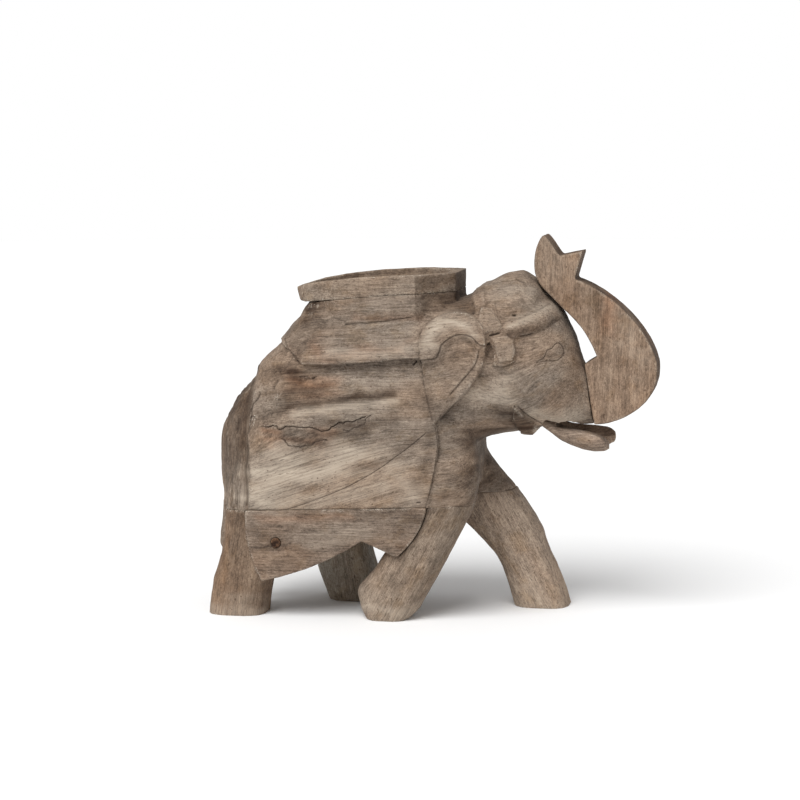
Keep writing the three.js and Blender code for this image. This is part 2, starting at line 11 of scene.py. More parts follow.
import bmesh
import bpy
import numpy as np
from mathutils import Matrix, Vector


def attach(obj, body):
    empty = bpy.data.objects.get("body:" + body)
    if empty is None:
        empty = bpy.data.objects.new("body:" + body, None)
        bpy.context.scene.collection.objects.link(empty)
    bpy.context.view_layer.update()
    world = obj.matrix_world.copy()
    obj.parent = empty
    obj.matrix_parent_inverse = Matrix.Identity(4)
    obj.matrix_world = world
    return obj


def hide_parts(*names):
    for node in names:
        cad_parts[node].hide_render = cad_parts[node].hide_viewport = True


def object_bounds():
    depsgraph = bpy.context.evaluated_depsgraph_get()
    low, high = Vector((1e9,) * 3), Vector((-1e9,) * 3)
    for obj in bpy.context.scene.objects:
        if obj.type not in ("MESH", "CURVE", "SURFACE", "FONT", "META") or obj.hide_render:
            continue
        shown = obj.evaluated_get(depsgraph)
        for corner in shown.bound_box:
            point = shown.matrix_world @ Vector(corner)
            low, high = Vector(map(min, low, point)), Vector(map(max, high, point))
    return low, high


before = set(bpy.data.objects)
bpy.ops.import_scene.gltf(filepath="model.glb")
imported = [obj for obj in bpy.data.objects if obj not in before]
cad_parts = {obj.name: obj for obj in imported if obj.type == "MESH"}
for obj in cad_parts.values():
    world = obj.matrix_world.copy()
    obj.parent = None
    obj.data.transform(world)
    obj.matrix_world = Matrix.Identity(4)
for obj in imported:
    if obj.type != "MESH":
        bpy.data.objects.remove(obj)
CAD_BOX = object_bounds()

MM = 0.001
BOTH = (-1, 1)  # the right and left sides, as signs of Y
WELD = 1e-6
FAR = 1000
MIDDLE = 12  # half the width of the strip down the middle that side-view carving leaves alone
CUT_REACH = 8  # how far from a groove's line its cut is worked out
JOINT_LAP = 1.1  # how far a piece is drawn into a glued joint, to close it


# ------------------------------------------------------------------ side view
def curve(points, steps=8, closed=False):
    """Smooth line through points (x, z), as a Catmull-Rom spline."""
    ends = points if closed else [points[0], *points, points[-1]]
    count = len(points) if closed else len(points) - 1
    line = []
    for i in range(count):
        if closed:
            a, b, c, d = (np.array(ends[(i + k - 1) % len(ends)], float) for k in range(4))
        else:
            a, b, c, d = (np.array(ends[i + k], float) for k in range(4))
        square, cube = 2 * a - 5 * b + 4 * c - d, 3 * b - a - 3 * c + d
        for t in np.arange(steps) / steps:
            line.append(0.5 * (2 * b + (c - a) * t + square * t**2 + cube * t**3))
    line.append(line[0] if closed else np.array(points[-1], float))
    return np.array(line)


def distance(at, line, reach=30):
    """Distance of each point (x, z) to a line, and how far along it that is, 0 to 1.

    Points further than reach outside the line's box are left at FAR.
    """
    line = np.asarray(line, float)
    close = ((at > line.min(0) - reach) & (at < line.max(0) + reach)).all(1)
    near = at[close]
    best = np.full(len(near), float(FAR))
    along = np.zeros(len(near))
    for i, (a, b) in enumerate(zip(line, line[1:])):
        way = b - a
        t = np.clip(((near - a) @ way) / max(way @ way, 1e-9), 0, 1)
        d = np.hypot(*(near - a - t[:, None] * way).T)
        nearer = d < best
        best[nearer] = d[nearer]
        along[nearer] = (i + t[nearer]) / (len(line) - 1)
    every, share = np.full(len(at), float(FAR)), np.zeros(len(at))
    every[close], share[close] = best, along
    return every, share


def inside(at, line):
    """Which points (x, z) are inside a closed line."""
    found = np.zeros(len(at), bool)
    for a, b in zip(line, line[1:]):
        spans = (a[1] > at[:, 1]) != (b[1] > at[:, 1])
        with np.errstate(divide="ignore", invalid="ignore"):
            cross = a[0] + (at[:, 1] - a[1]) * (b[0] - a[0]) / (b[1] - a[1])
        found ^= spans & (at[:, 0] < cross)
    return found


def fade(value, start, end):
    """0 at start, 1 at end, with a smooth turn at both."""
    t = np.clip((value - start) / (end - start), 0, 1)
    return t * t * (3 - 2 * t)


def waves(points, size, seed, count=24):
    """Smooth random field of about -1 to 1 that changes over that size."""
    random = np.random.default_rng(seed)
    ways = random.normal(size=(count, points.shape[1])) / np.asarray(size, float)
    phases = random.uniform(0, 2 * np.pi, count)
    return np.sin(points @ ways.T * 2.2 + phases).sum(1) / math.sqrt(count)


def ring(x, z, radius, count=24):
    """Circle in side view."""
    turn = np.linspace(0, 2 * np.pi, count + 1)
    return np.stack([x + radius * np.cos(turn), z + radius * np.sin(turn)], 1)


def loop(points):
    """Closed outline with straight sides through points (x, z)."""
    return np.array([*points, points[0]], float)


def jitter(points, size, seed):
    """Small random side-view shift, (x, z), that changes over that size."""
    return np.stack([waves(points, size, seed), waves(points, size, seed + 1)], 1)


class Groove:
    """A narrow cut along a line in side view, on one side of the object.

    Depth and width are in millimetres. dirt_and_shade, 0 to 1, is dirt and painted shade
    in the cut, and taper is the share of the line over which each end thins out.
    """

    def __init__(self, line, side, depth, width, dirt_and_shade, taper=0.1):
        self.line, self.side = np.asarray(line, float), side
        self.depth, self.width, self.dirt_and_shade, self.taper = depth, width, dirt_and_shade, taper


def nearest_cut(block, grooves):
    """Distance of each point to the nearest groove on its own side."""
    away = np.full(len(block.points), float(FAR))
    for groove in grooves:
        own_side = block.points[:, 1] * groove.side > MIDDLE
        to_line, _ = distance(block.side[own_side], groove.line, CUT_REACH)
        away[own_side] = np.minimum(away[own_side], to_line)
    return away


# --------------------------------------------------------------------- blocks
class Block:
    """A piece of wood while it is carved, with its points in millimetres.

    Each mark is a value per point, 0 to 1, that the material reads.
    """

    # dirt_and_shade, dark and pale hold painted shade and light as well as real dirt, stains and bleaching
    marks = ("dirt_and_shade", "worn", "dark", "warm", "pale")

    def __init__(self, node, voxel, wear=1.0):
        self.node, self.wear = node, wear
        self.mesh = even_mesh(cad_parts[node], voxel * MM)
        self.read()

    def read(self):
        count = len(self.mesh.vertices)
        flat = np.zeros(count * 3, np.float32)
        self.mesh.vertices.foreach_get("co", flat)
        self.points = flat.reshape(-1, 3).astype(float) / MM
        ends = np.zeros(len(self.mesh.edges) * 2, np.int32)
        self.mesh.edges.foreach_get("vertices", ends)
        self.edges = ends.reshape(-1, 2)
        self.links = np.maximum(np.bincount(self.edges.ravel(), minlength=count), 1)
        for mark in self.marks:
            setattr(self, mark, np.zeros(count))

    def write(self):
        self.mesh.vertices.foreach_set("co", (self.points * MM).astype(np.float32).ravel())
        self.mesh.update()

    @property
    def side(self):
        """Each point in side view, (x, z)."""
        return self.points[:, [0, 2]]

    def normals(self):
        self.write()
        flat = np.zeros(len(self.points) * 3, np.float32)
        self.mesh.vertex_normals.foreach_get("vector", flat)
        return flat.reshape(-1, 3).astype(float)

    def mean(self, values):
        """Mean of each point's neighbours, for numbers or vectors."""
        a, b = self.edges.T
        if values.ndim == 1:
            total = np.bincount(a, values[b], len(values)) + np.bincount(b, values[a], len(values))
            return total / self.links
        return np.stack([self.mean(column) for column in values.T], 1)

    def blur(self, values, rounds):
        for _ in range(rounds):
            values = (values + self.mean(values)) / 2
        return values

    def soften(self, rounds, low=9, high=24):
        """Rounds off shallow facets, and leaves edges sharper than high degrees."""
        normals = self.normals()
        a, b = self.edges.T
        turn = np.degrees(np.arccos(np.clip((normals[a] * normals[b]).sum(1), -1, 1)))
        sharp = np.zeros(len(self.points))
        np.maximum.at(sharp, a, turn)
        np.maximum.at(sharp, b, turn)
        keep = self.blur(1 - fade(sharp, low, high), 2)[:, None]
        for _ in range(rounds):
            self.points += 0.6 * keep * (self.mean(self.points) - self.points)

    def push(self, depth):
        """Moves the surface out by depth, in millimetres, or in where it is negative."""
        self.points += self.normals() * depth[:, None]

    def relax(self, weight, rounds):
        """Smooths the surface by weight, 0 to 1, sharp edges too."""
        for _ in range(rounds):
            self.points += 0.5 * weight[:, None] * (self.mean(self.points) - self.points)

    def flank(self, side):
        """1 on the outside that faces right, for side -1, or left, for side 1; 0 elsewhere."""
        facing = fade(self.normals()[:, 1] * side, 0.1, 0.35)
        return facing * fade(self.points[:, 1] * side, MIDDLE, MIDDLE + 10)

    def cut(self, grooves):
        """Cuts Groove lines, with dirt and painted shade left in them."""
        sides = {side: self.flank(side) for side in BOTH}
        depth = np.zeros(len(self.points))
        for groove in grooves:
            away, along = distance(self.side, groove.line, CUT_REACH)
            if groove.taper:
                away = away + 3 * groove.width * (1 - fade(np.minimum(along, 1 - along), 0, groove.taper))
            shape = np.exp(-((away / groove.width) ** 2)) * sides[groove.side]
            depth = np.maximum(depth, groove.depth * shape)
            # painted shade along each cut, with its dirt
            self.dirt_and_shade = np.maximum(self.dirt_and_shade, groove.dirt_and_shade * shape)
        self.push(-depth)

    def stain_and_shade(self, mark, line, width, amount, side=0, seed=5):
        """Adds to a mark in a soft ragged band along a side-view line."""
        shift = 0.45 * width * jitter(self.points, (30, 30, 8), seed)
        away, _ = distance(self.side + shift, line, 3 * width)
        soft = np.exp(-((away / width) ** 2))
        if side:
            soft = soft * (self.points[:, 1] * side > 0)
        setattr(self, mark, getattr(self, mark) + amount * soft)

    def stains_and_shade(self, bands, seed):
        """Adds many bands of real stain and of painted shade and light, each given as (mark, points, width,
        amount, side).
        """
        for i, (mark, points, width, amount, side) in enumerate(bands):
            self.stain_and_shade(mark, curve(points), width, amount, side, seed + 2 * i)

    def patch(self, line, soft):
        """1 inside a closed side-view outline, falling to 0 over soft millimetres at its edge."""
        return inside(self.side, line) * fade(distance(self.side, line)[0], 0, soft)

    def chip(self, where, size, depth, seed):
        """Takes small chips out of the wood where the weight, 0 to 1, is high."""
        self.push(-depth * where * fade(waves(self.points, size, seed), 0.7, 1.6))

    def meet(self, gap, way):
        """Closes a glued joint whose faces were rounded by the even mesh.

        gap is how far each point is from the joint, and way is the direction to it.
        """
        self.points += JOINT_LAP * np.outer(fade(gap, 3.2, 1.6), way)

    def refine(self, near):
        """Halves the mesh where near is true."""
        self.write()
        bm = bmesh.new()
        bm.from_mesh(self.mesh)
        edges = [e for e in bm.edges if near[e.verts[0].index] and near[e.verts[1].index]]
        bmesh.ops.subdivide_edges(bm, edges=edges, cuts=1, use_grid_fill=True)
        bm.to_mesh(self.mesh)
        bm.free()
        self.read()

    def weather(self):
        """Finds worn edges, and hollows darkened by dirt and painted shade, from how the finished surface
        bends.
        """
        normals = self.normals()
        bend = ((self.points - self.mean(self.points)) * normals).sum(1)
        step = np.linalg.norm(self.points[self.edges[:, 0]] - self.points[self.edges[:, 1]], axis=1)
        a, b = self.edges.T
        size = (np.bincount(a, step, len(bend)) + np.bincount(b, step, len(bend))) / self.links
        bend = self.blur(bend / size, 3)
        broken = fade(waves(self.points, (9, 9, 9), 18), -0.9, 0.9)
        self.worn = np.maximum(self.worn, self.wear * broken * fade(bend, 0.03, 0.18))
        # painted shade in the hollows, as occlusion would give, with some dirt
        self.dirt_and_shade = np.maximum(self.dirt_and_shade, self.wear * fade(-bend, 0.03, 0.18))


def even_mesh(source, voxel):
    """A finely and evenly meshed copy of a closed CAD mesh."""
    work = bpy.data.objects.new("work", source.data.copy())
    bpy.context.scene.collection.objects.link(work)
    bm = bmesh.new()
    bm.from_mesh(work.data)
    bmesh.ops.remove_doubles(bm, verts=bm.verts, dist=WELD)
    bm.to_mesh(work.data)
    bm.free()
    remesh = work.modifiers.new("even", "REMESH")
    remesh.mode = "VOXEL"
    remesh.voxel_size = voxel
    mesh = bpy.data.meshes.new_from_object(work.evaluated_get(bpy.context.evaluated_depsgraph_get()))
    bpy.data.objects.remove(work)
    return mesh


# ------------------------------------------------------------------ materials
def linear(red, green, blue):
    """Shader colour of an sRGB colour, each part in 11 to 255."""
    return (*(((c / 255 + 0.055) / 1.055) ** 2.4 for c in (red, green, blue)), 1)


class Tree:
    """Short ways to add nodes to a material."""

    def __init__(self, material):
        material.use_nodes = True
        self.nodes = material.node_tree.nodes
        self.links = material.node_tree.links
        self.shader = self.nodes["Principled BSDF"]

    def put(self, socket, value):
        if isinstance(value, bpy.types.NodeSocket):
            self.links.new(value, socket)
        else:
            socket.default_value = value

    def attribute(self, name, output="Fac"):
        made = self.nodes.new("ShaderNodeAttribute")
        made.attribute_name = name
        return made.outputs[output]

    def math(self, operation, a, b=0.0):
        made = self.nodes.new("ShaderNodeMath")
        made.operation = operation
        self.put(made.inputs[0], a)
        self.put(made.inputs[1], b)
        return made.outputs[0]

    def stretch(self, vector, scale):
        made = self.nodes.new("ShaderNodeVectorMath")
        made.operation = "MULTIPLY"
        self.put(made.inputs[0], vector)
        made.inputs[1].default_value = scale
        return made.outputs[0]

    def noise(self, vector, scale, detail=2.0, roughness=0.55):
        made = self.nodes.new("ShaderNodeTexNoise")
        self.put(made.inputs["Vector"], self.stretch(vector, scale))
        made.inputs["Scale"].default_value = 1.0
        made.inputs["Detail"].default_value = detail
        made.inputs["Roughness"].default_value = roughness
        return made.outputs["Fac"]

    def span(self, value, low, high, to_low=0.0, to_high=1.0):
        made = self.nodes.new("ShaderNodeMapRange")
        made.interpolation_type = "SMOOTHSTEP"
        self.put(made.inputs["Value"], value)
        made.inputs["From Min"].default_value = low
        made.inputs["From Max"].default_value = high
        made.inputs["To Min"].default_value = to_low
        made.inputs["To Max"].default_value = to_high
        return made.outputs["Result"]

    def ramp(self, value, stops):
        made = self.nodes.new("ShaderNodeValToRGB")
        self.put(made.inputs["Fac"], value)
        elements = made.color_ramp.elements
        while len(elements) < len(stops):
            elements.new(0.5)
        for element, (position, colour) in zip(elements, stops):
            element.position = position
            element.color = colour
        return made.outputs["Color"]

    def mix(self, factor, a, b, blend="MIX"):
        made = self.nodes.new("ShaderNodeMix")
        made.data_type = "RGBA"
        made.blend_type = blend
        self.put(made.inputs["Factor"], factor)
        self.put(made.inputs[6], a)
        self.put(made.inputs[7], b)
        return made.outputs[2]

    def bump(self, height, strength, reach, normal=None):
        made = self.nodes.new("ShaderNodeBump")
        made.inputs["Strength"].default_value = strength
        made.inputs["Distance"].default_value = reach
        self.put(made.inputs["Height"], height)
        if normal:
            self.put(made.inputs["Normal"], normal)
        return made.outputs["Normal"]


def wood(name, tint=(1.0, 1.0, 1.0), streaks=1.0, mottle=1.0, patches=1.0):
    """Dry greyed hardwood whose grain runs along the first axis of the grain marks."""
    material = bpy.data.materials.new(name)
    tree = Tree(material)
    paint_wood(tree, tree.attribute("grain", "Vector"), tint, streaks, mottle, patches)
    return material


def pin_wood(name, tint):
    """Wood of a plain CAD pin, with its grain along the pin."""
    material = bpy.data.materials.new(name)
    tree = Tree(material)
    place = tree.nodes.new("ShaderNodeTexCoord").outputs["Object"]
    paint_wood(tree, place, tint, 0.7, 0.7, 0.5)
    return material


def paint_wood(tree, grain, tint, streaks, mottle, patches):
    fibre = tree.noise(grain, (22, 620, 620), 4, 0.62)
    fine = tree.noise(grain, (80, 1800, 1800), 2)
    bands = tree.noise(grain, (4, 80, 55), 3, 0.5)
    cloud = tree.noise(grain, (70, 110, 110), 4, 0.6)
    fleck = tree.noise(grain, (330, 560, 560), 3)
    speck = tree.noise(grain, (900, 1400, 1400), 1)
    patch = tree.noise(grain, (9, 22, 22), 2)
    soil = tree.noise(grain, (38, 60, 60), 5, 0.65)
    spots = tree.noise(grain, (280, 330, 330), 1)
    pores = tree.noise(grain, (130, 1500, 1500), 1)

    tone = 0.5
    parts = [
        (fibre, 0.8 * streaks),
        (fine, 0.5),
        (bands, 0.42 * streaks),
        (cloud, 0.65 * mottle),
        (fleck, 0.6 * mottle),
        (speck, 0.55),
    ]
    for part, share in parts:
        tone = tree.math("ADD", tone, tree.math("MULTIPLY", tree.math("SUBTRACT", part, 0.5), share))
    colour = tree.ramp(
        tone,
        [
            (0.0, linear(60, 52, 45)),
            (0.3, linear(97, 86, 76)),
            (0.5, linear(123, 110, 98)),
            (0.75, linear(148, 135, 121)),
            (1.0, linear(172, 159, 144)),
        ],
    )
    colour = tree.mix(1.0, colour, (*tint, 1), "MULTIPLY")
    browner = tree.mix(1.0, colour, (1.08, 0.97, 0.88, 1), "MULTIPLY")
    colour = tree.mix(tree.span(patch, 0.35, 0.65, 0, patches), colour, browner)
    soiled = tree.mix(1.0, colour, (0.86, 0.8, 0.72, 1), "MULTIPLY")
    colour = tree.mix(tree.span(soil, 0.48, 0.68, 0, 0.9 * mottle), colour, soiled)

    warm = tree.attribute("warm")
    colour = tree.mix(warm, colour, tree.mix(1.0, colour, (1.02, 0.78, 0.64, 1), "MULTIPLY"))
    # pale: bleached wood and flakes, and painted light on the ear's fold
    pale = tree.math("MULTIPLY", tree.attribute("pale"), tree.span(fibre, 0.3, 0.65, 0.45, 1.0))
    colour = tree.mix(pale, colour, linear(182, 168, 151))
    # dark: stains and rot, and painted shade on faces turned from the light and in hollows
    dark = tree.math("MULTIPLY", tree.attribute("dark"), tree.span(bands, 0.3, 0.7, 1.0, 0.6))
    colour = tree.mix(dark, colour, tree.mix(1.0, colour, linear(116, 99, 85), "MULTIPLY"))
    colour = tree.mix(tree.span(pores, 0.62, 0.72, 0.0, 0.6), colour, linear(66, 53, 43))
    colour = tree.mix(tree.span(spots, 0.69, 0.75, 0.0, 0.65), colour, linear(74, 56, 43))
    worn = tree.math("MULTIPLY", tree.attribute("worn"), tree.span(fleck, 0.35, 0.65, 0.1, 0.6))
    colour = tree.mix(worn, colour, linear(168, 154, 138))
    chalk = tree.math("MULTIPLY", tree.attribute("worn"), tree.span(speck, 0.58, 0.68, 0.0, 0.9))
    colour = tree.mix(chalk, colour, linear(210, 202, 190))
    # dirt_and_shade: dirt, and painted shade in hollows, cuts and joints
    dirt_and_shade = tree.math("MULTIPLY", tree.attribute("dirt_and_shade"), tree.span(fleck, 0.3, 0.6, 1.0, 0.75))
    colour = tree.mix(dirt_and_shade, colour, linear(46, 36, 29))

    shader = tree.shader
    tree.put(shader.inputs["Base Color"], colour)
    tree.put(shader.inputs["Roughness"], tree.span(fibre, 0.3, 0.7, 0.92, 0.76))
    shader.inputs["Specular IOR Level"].default_value = 0.25
    rough = tree.bump(cloud, 0.3, 0.0012)
    rough = tree.bump(fleck, 0.3, 0.0006, rough)
    rough = tree.bump(fibre, 0.5, 0.0006, rough)
    rough = tree.bump(tree.span(pores, 0.74, 0.62), 0.4, 0.0005, rough)
    tree.put(shader.inputs["Normal"], rough)


# ---------------------------------------------------------------------- grain
def straight_grain(block, lean):
    """Grain along a direction in side view, given as its angle above +X in degrees."""
    turn = math.radians(lean)
    along = np.array([math.cos(turn), 0, math.sin(turn)])
    across = np.array([-math.sin(turn), 0, math.cos(turn)])
    return np.stack([block.points @ along, block.points @ across, block.points[:, 1]], 1)


# --------------------------------------------------------------------- pieces
def finish_piece(block, material, grain, seed):
    """Puts the carved block in the scene in place of its CAD node."""
    block.weather()
    block.write()
    mesh = block.mesh
    shift = np.random.default_rng(seed).uniform(0, 400, 3)
    vectors = mesh.attributes.new("grain", "FLOAT_VECTOR", "POINT")
    vectors.data.foreach_set("vector", ((grain + shift) * MM).astype(np.float32).ravel())
    for mark in block.marks:
        values = mesh.attributes.new(mark, "FLOAT", "POINT")
        values.data.foreach_set("value", np.clip(getattr(block, mark), 0, 1).astype(np.float32))
    mesh.materials.clear()
    mesh.materials.append(material)
    mesh.shade_smooth()
    piece = bpy.data.objects.new(f"carved_{block.node}", mesh)
    bpy.context.scene.collection.objects.link(piece)
    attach(piece, "root")
    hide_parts(block.node)
    return piece


# ------------------------------------------------------------- body in detail
EAR_FOLD = curve([
    (-4, 259), (6, 259.5), (13, 261), (16, 267), (18, 273), (24, 279),
    (32, 283), (40, 283.5), (47, 281), (53, 275), (58, 273), (64, 275),
])
EAR_GROOVE = curve([(54, 273), (53, 263), (50, 254), (43, 245), (34, 234), (20, 218)])
EAR_REAR = curve([(12, 196), (4, 224), (-2, 250), (-4, 273)])
EYE = curve([
    (127, 275), (132, 271), (133, 264), (130, 260), (126, 258),
    (118, 258), (108, 257), (115, 261), (118, 268), (122, 270),
], closed=True)
EYEBALL, EYEBALL_SIZE = (127, 266.5), (4.6, 6.2)
BAND_TOP = curve([(62, 290), (76, 293), (102, 304), (116, 311), (128, 314)])
DOME_FOOT = curve([(75, 297), (81, 297), (90, 299), (102, 304), (111, 308), (118, 312), (131, 317)])
DOME_REAR = curve([(66, 315), (69, 305), (75, 297)])
BAND_FOOT = curve([(76, 287), (87, 279.5), (98, 281), (107, 284.5), (119, 291), (131, 299)])
STRAP_GOUGE = curve([(61, 282), (68, 284), (76, 286)])
BAND_GOUGE = curve([(88, 281), (98, 282.5), (109, 286)])
STRAP_UPPER = loop([(53, 311), (65, 309), (75, 294), (76, 288), (59, 284), (54, 291), (51, 299)])
STRAP_LOWER = loop([(63, 281), (81, 284), (87, 278), (89, 266), (86, 258), (73, 256), (69, 265), (67, 275)])
STRAP_FOOT = curve([(64, 252), (75, 252), (83, 254), (88, 258)])
CHEEK = curve([(88, 214), (97, 204), (106, 197), (123, 189)])
JAW = curve([(87, 216), (84, 198), (91, 186), (102, 185)])
DOME_LINE = curve([(83, 336), (93, 332)])
NECKLINE = curve([(-81, 291), (-69, 292), (-47, 294), (-5, 300)])
BLANKET_FRONT = curve([(-6, 92), (2, 110), (8, 129), (13, 152), (16, 176), (14, 192), (10, 199)])
LEG_NOTCH = curve([(8, 106), (5, 99), (1, 91)])
CLOTH_NICK = curve([(-12, 252), (-6, 259)])
CLOTH_FOOT = curve([(-117, 250), (-84, 251.5), (-44, 256), (-4, 260)])
CLOTH_REAR = curve([(-144, 277), (-134, 264), (-121, 250)])
MAIN_CRACK = [
    (-165, 190), (-155, 191), (-145, 191), (-142, 188), (-132, 191), (-112, 191), (-106, 190),
    (-97, 188), (-85, 194), (-78, 197), (-64, 199), (-56, 203), (-51, 207),
]
KNOT_RING = curve([
    (-136, 184), (-138, 179), (-133, 174), (-126, 172), (-119, 172),
    (-111, 174), (-104, 177), (-97, 179), (-90, 178),
])
SMALL_KNOT = curve([(-51, 207), (-53, 202), (-58, 196), (-66, 192), (-74, 188), (-80, 191)])
UPPER_KNOT = curve([(-124, 239), (-117, 241), (-112, 239), (-105, 240)])
CHECK = curve([(-141, 107), (-113, 117), (-75, 133), (-44, 151), (-25, 165), (-13, 174), (7, 191)])
ROT_EDGE = curve([(-162, 226), (-166, 217), (-170, 210), (-172, 199), (-174, 190), (-176, 182)])
ROT_FOOT = curve([(-175, 176), (-176, 150), (-176, 128), (-176, 107)])
ROT_RIDGE = curve([(-132, 254), (-141, 243), (-147, 236), (-153, 211), (-164, 198)])


GLUE_X, GLUE_Z, GLUE_CLIMB = -175, 106, math.radians(2.6)
GLUE_MARKS = [(-176, -102, 0.5), (-99, -62, 0.8), (-57, -8, 0.95)]  # start, end and dirt_and_shade of each stretch: dirt and painted shade along the glue line
RIM_SEAM = [(-130, 310.3), (-87, 315.3), (-26, 320.8), (30, 323)]


def glue_height(x):
    """Height of the glue line under the body, which climbs forwards."""
    return GLUE_Z + (x - GLUE_X) * math.tan(GLUE_CLIMB)


def rough_line(points, size, amount, seed):
    """A line with points added between and moved sideways at random, like a crack."""
    line = curve(points, 5)
    return line + amount * jitter(np.stack([line[:, 0], line[:, 0] * 0, line[:, 1]], 1), size, seed)


def dark_spot(x, z, length):
    """Short line for a stain or hole at a place."""
    return np.array([[x - length / 2, z], [x + length / 2, z]], float)


def body_grooves():
    """Every narrow cut in the body block."""
    grooves = []
    for side in BOTH:
        grooves += [
            Groove(EAR_FOLD, side, 0.9, 0.8, 0.9, 0.03),
            Groove(EAR_GROOVE, side, 1.3, 1.0, 0.65, 0.15),
            Groove(EAR_REAR, side, 0.6, 0.9, 0.55),
            Groove(EYE, side, 0.7, 0.5, 0.75, 0),
            Groove(STRAP_GOUGE, side, 2.2, 1.0, 1.0, 0.3),
            Groove(BAND_GOUGE, side, 1.2, 0.9, 0.8, 0.3),
            Groove(STRAP_UPPER, side, 0.2, 0.8, 0.12, 0),
            Groove(STRAP_LOWER, side, 0.2, 0.8, 0.12, 0),
            Groove(STRAP_FOOT, side, 0.8, 0.8, 0.6),
            Groove(DOME_FOOT, side, 0.6, 1.0, 0.35),
            Groove(DOME_REAR, side, 0.5, 0.8, 0.4),
            Groove(BAND_FOOT, side, 0.4, 0.8, 0.35),
            Groove(CHEEK, side, 1.0, 0.8, 0.6),
            Groove(JAW, side, 0.7, 0.8, 0.5),
            Groove(DOME_LINE, side, 0.8, 0.7, 0.7),
            Groove(rough_line(NECKLINE[::8], 9, 0.5, 13), side, 0.9, 0.7, 0.7),
            Groove(BLANKET_FRONT, side, 0.7, 0.9, 0.55),
            Groove(CLOTH_FOOT, side, 0.5, 0.7, 0.6),
            Groove(CLOTH_REAR, side, 0.5, 0.8, 0.6),
            Groove(rough_line(RIM_SEAM, 7, 0.15, 14), side, 0.4, 0.45, 0.75, 0.02),
        ]
        for start, end, dirt_and_shade in GLUE_MARKS:
            line = [(x, glue_height(x) + 0.7) for x in (start, (start + end) / 2, end)]
            grooves.append(Groove(rough_line(line, 3, 0.15, 15), side, 0.4, 0.4, dirt_and_shade))
    return grooves + [
        Groove(rough_line(MAIN_CRACK, 3.5, 0.7, 3), -1, 1.6, 0.55, 1.0),
        Groove(rough_line(KNOT_RING[::8], 3, 0.8, 7), -1, 1.0, 0.7, 0.8),
        Groove(rough_line(SMALL_KNOT[::8], 3, 0.9, 8), -1, 0.8, 0.7, 0.7),
        Groove(rough_line(UPPER_KNOT[::8], 3, 0.8, 9), -1, 0.8, 0.9, 0.7),
        Groove(rough_line(ROT_EDGE[::8], 6, 0.7, 10), -1, 1.2, 0.9, 0.7),
        Groove(rough_line(ROT_FOOT[::8], 9, 0.6, 11), -1, 1.2, 1.5, 0.6),
        Groove(LEG_NOTCH, -1, 1.6, 1.0, 0.9),
        Groove(CLOTH_NICK, -1, 1.8, 1.0, 1.0, 0.3),
        Groove(CHECK, -1, 0.6, 0.4, 0.95, 0.05),
        Groove(dark_spot(-3, 120, 3), -1, 1.0, 0.7, 0.9, 0),
        Groove(dark_spot(85.5, 302, 2), -1, 2.0, 0.9, 1.0, 0),
        Groove(rough_line([(-120, 205), (-90, 209), (-60, 207), (-20, 214)], 6, 1.2, 12), 1, 0.9, 0.5, 0.9),
    ]


def turned(place, centre, reach, lean):
    """Change of the grain marks (along, across) that leans them by an angle near a centre."""
    turn = math.radians(lean)
    offset = place - centre
    share = np.exp(-((offset**2).sum(1)) / reach**2)[:, None]
    ahead, up = (math.cos(turn), math.sin(turn)), (-math.sin(turn), math.cos(turn))
    leant = np.stack([offset @ ahead, offset @ up], 1)
    return share * (leant - offset)


def body_grain(block):
    """Grain of the body block: level above, climbing forwards below."""
    place = block.side
    marks = place.copy()
    climb = math.tan(math.radians(4)) + math.tan(math.radians(15)) * fade(place[:, 1], 208, 160)
    marks[:, 1] -= climb * (place[:, 0] + 80)
    for centre, reach, lean in [((20, 235), 40, 12), ((112, 220), 44, 42), ((62, 150), 42, 36)]:
        marks += turned(place, np.array(centre), reach, lean)
    along, across = marks.T
    behind = fade(place[:, 0], -174, -178)
    across = across * (1 - behind) + (place[:, 0] + 0.4 * block.points[:, 1]) * behind
    along = along * (1 - behind) + place[:, 1] * behind
    return np.stack([along, across, block.points[:, 1]], 1)


def carve_ear(block):
    """Dishes the ear under its rolled rim, towards its tip less and less."""
    at = block.side
    hollow = np.vstack([EAR_GROOVE[::-1], EAR_FOLD[::-1], [[-2, 240], [6, 222], [12, 208]]])
    hollow = np.vstack([hollow, hollow[:1]])
    away, _ = distance(at, hollow)
    deep = inside(at, hollow) * fade(away, 0, 7) * fade(at[:, 1], 212, 262)
    for side in BOTH:
        block.push(-3.0 * deep * block.flank(side))


def carve_band(block):
    """Raises the brow band to a ridge along its middle."""
    at = block.side
    up, down = distance(at, DOME_FOOT)[0], distance(at, BAND_FOOT)[0]
    ridge = 2 * np.minimum(up, down) / np.maximum(up + down, 1)
    ridge *= inside(at, loop([*DOME_FOOT, *BAND_FOOT[::-1]]))
    ridge *= fade(at[:, 0], 76, 84) * fade(at[:, 0], 131, 124)
    for side in BOTH:
        block.push(1.3 * ridge * block.flank(side))


def raise_straps(block):
    """Makes both straps stand proud, with flat faces."""
    for strap in (STRAP_UPPER, STRAP_LOWER):
        raised = block.patch(strap, 2.2)
        for side in BOTH:
            block.push(1.2 * raised * block.flank(side))
        block.pale += 0.15 * raised


def carve_eye(block):
    """Rounds the eyeball inside its cut outline."""
    at = block.side
    ball = np.exp(-((((at - EYEBALL) / EYEBALL_SIZE) ** 2).sum(1) ** 2))
    for side in BOTH:
        block.push(0.5 * ball * block.flank(side))


def furrow(block, behind, seed):
    """Rough, furrowed wood where the weight, 0 to 1, is high, with pale flakes left on it."""
    furrows = waves(block.points, (3.0, 3.0, 26.0), seed)
    block.push(0.45 * behind * furrows)
    block.dirt_and_shade += 0.4 * behind * fade(-furrows, 0.3, 1.2)
    block.pale += 0.75 * behind * fade(waves(block.points, (3, 3, 7), seed + 1), 0.9, 1.6)


